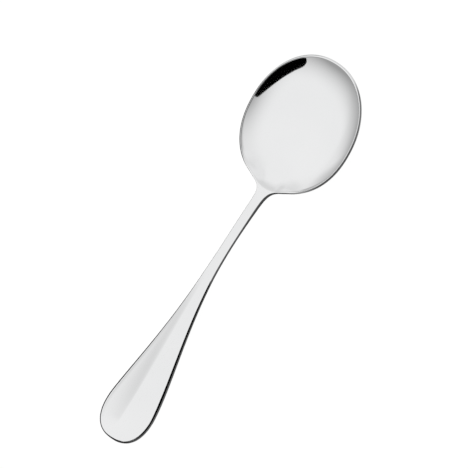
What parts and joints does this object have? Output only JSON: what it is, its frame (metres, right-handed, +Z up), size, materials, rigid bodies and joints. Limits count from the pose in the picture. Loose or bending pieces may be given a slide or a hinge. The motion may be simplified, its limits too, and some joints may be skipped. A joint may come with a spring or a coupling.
{
  "type": "soup spoon",
  "caption": "Soup spoon with a round bowl and a teardrop handle with a raised ridge, formed from one piece of polished stainless steel.",
  "frame": {"origin": "under the middle of the whole spoon, on the table that it lies on", "axes": "+X from the handle's end towards the bowl's tip, +Z up out of the open bowl; the bowl's bottom and the handle's end rest on z = 0"},
  "size_m": [0.1766, 0.05, 0.0136],
  "materials": {
    "polished_steel": "mirror-polished stainless steel with fine polishing marks"
  },
  "bodies": {
    "root": {"spoon": "polished_steel"}
  },
  "joints": []
}
